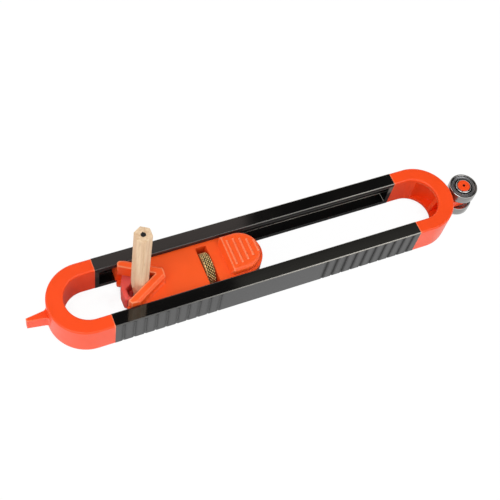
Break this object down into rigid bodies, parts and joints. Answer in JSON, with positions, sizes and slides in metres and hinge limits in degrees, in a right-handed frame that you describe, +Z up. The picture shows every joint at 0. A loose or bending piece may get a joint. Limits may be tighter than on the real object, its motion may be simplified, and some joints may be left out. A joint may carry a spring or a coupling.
{
  "type": "contour gauge",
  "caption": "Pencil scribing gauge: a long open frame with side rails, a sliding pencil clamp with a thumbwheel, a pointer at one end and ball-bearing rollers at the other.",
  "frame": {"origin": "middle of the tool's length and width, on the surface it lies on", "axes": "+X along the tool from the pointer to the rollers, +Y to the far rail, +Z up along the pencil"},
  "size_m": [0.2242, 0.035, 0.0575],
  "materials": {
    "rail_black": "glossy black moulding",
    "orange_plastic": "satin orange moulding",
    "red_plastic": "satin red-orange moulding",
    "bearing_steel": "ground and polished",
    "shield_steel": "pressed and turned",
    "brass": "knurled rim",
    "pencil_wood": "raw planed wood",
    "pencil_lead": "graphite"
  },
  "bodies": {
    "frame": {"near_rail": "rail_black", "far_rail": "rail_black", "pointer_cap": "orange_plastic", "roller_cap": "orange_plastic", "upper_inner_ring": "bearing_steel", "lower_inner_ring": "bearing_steel"},
    "upper_roller": {"upper_outer_ring": "bearing_steel", "upper_shields": "shield_steel"},
    "upper_ball_set": {"upper_cage": "shield_steel", "upper_balls": "bearing_steel"},
    "lower_roller": {"lower_outer_ring": "bearing_steel", "lower_shields": "shield_steel"},
    "lower_ball_set": {"lower_cage": "shield_steel", "lower_balls": "bearing_steel"},
    "slide": {"carriage_body": "orange_plastic", "carriage_cover": "orange_plastic", "cover_screws": "shield_steel"},
    "wheel": {"thumbwheel": "brass"},
    "jaw": {"clamp_jaw": "red_plastic", "draw_screw": "shield_steel", "jaw_pin": "shield_steel"},
    "pencil": {"pencil_wood": "pencil_wood", "pencil_lead": "pencil_lead"}
  },
  "joints": [
    {"name": "carriage_slide", "type": "slide", "parent": "frame", "child": "slide", "axis": [1, 0, 0], "range_m": [-0.0054, 0.083]},
    {"name": "wheel_turn", "type": "hinge", "parent": "slide", "child": "wheel", "pos_m": [-0.02895, 0, 0.0085], "axis": [1, 0, 0], "range_deg": [-765, 1170]},
    {"name": "jaw_slide", "type": "slide", "parent": "slide", "child": "jaw", "axis": [1, 0, 0], "range_m": [-0.0026, 0.0017]},
    {"name": "pencil_lift", "type": "slide", "parent": "slide", "child": "pencil", "axis": [0, 0, 1], "range_m": [0, 0.025]},
    {"name": "upper_roller_spin", "type": "hinge", "parent": "frame", "child": "upper_roller", "pos_m": [0.10515, 0, 0.0137], "axis": [0, 0, 1], "continuous": true},
    {"name": "upper_ball_spin", "type": "hinge", "parent": "frame", "child": "upper_ball_set", "pos_m": [0.10515, 0, 0.0137], "axis": [0, 0, 1], "continuous": true},
    {"name": "lower_roller_spin", "type": "hinge", "parent": "frame", "child": "lower_roller", "pos_m": [0.10515, 0, 0.0033], "axis": [0, 0, 1], "continuous": true},
    {"name": "lower_ball_spin", "type": "hinge", "parent": "frame", "child": "lower_ball_set", "pos_m": [0.10515, 0, 0.0033], "axis": [0, 0, 1], "continuous": true}
  ],
  "couplings": [
    {"joint": "jaw_slide", "follows": "wheel_turn", "m_per_rad": -0.00012732},
    {"joint": "upper_ball_spin", "follows": "upper_roller_spin", "ratio": 0.6158},
    {"joint": "lower_ball_spin", "follows": "lower_roller_spin", "ratio": 0.6158}
  ]
}
